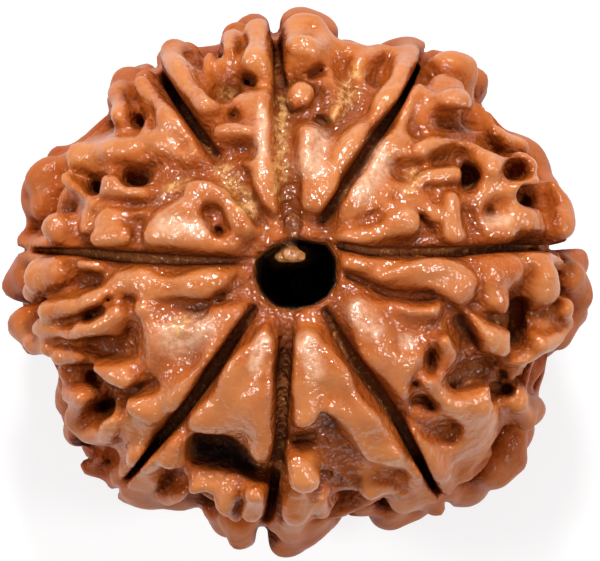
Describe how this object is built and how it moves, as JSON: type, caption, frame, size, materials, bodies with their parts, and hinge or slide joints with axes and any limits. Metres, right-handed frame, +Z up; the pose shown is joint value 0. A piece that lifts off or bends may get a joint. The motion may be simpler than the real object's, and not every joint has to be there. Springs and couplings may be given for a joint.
{
  "type": "rudraksha seed",
  "caption": "Oblate grown seed stone with deep radial grooves, a raised net of rounded ridges and pits between them, and a hole along its axis for a thread.",
  "frame": {"origin": "centre of the bounding box's underside, on the plane of the small flats it rests on", "axes": "+Z up along the hole, +Y towards the top of the picture, +X to the picture's right"},
  "size_m": [0.0272, 0.0252, 0.0209],
  "materials": {
    "rudraksha_stone": "oiled, brushed and hand-worn woody shell, satin on the crests, rough and dark in the pits"
  },
  "bodies": {
    "root": {"rudraksha_stone": "rudraksha_stone"}
  },
  "joints": []
}
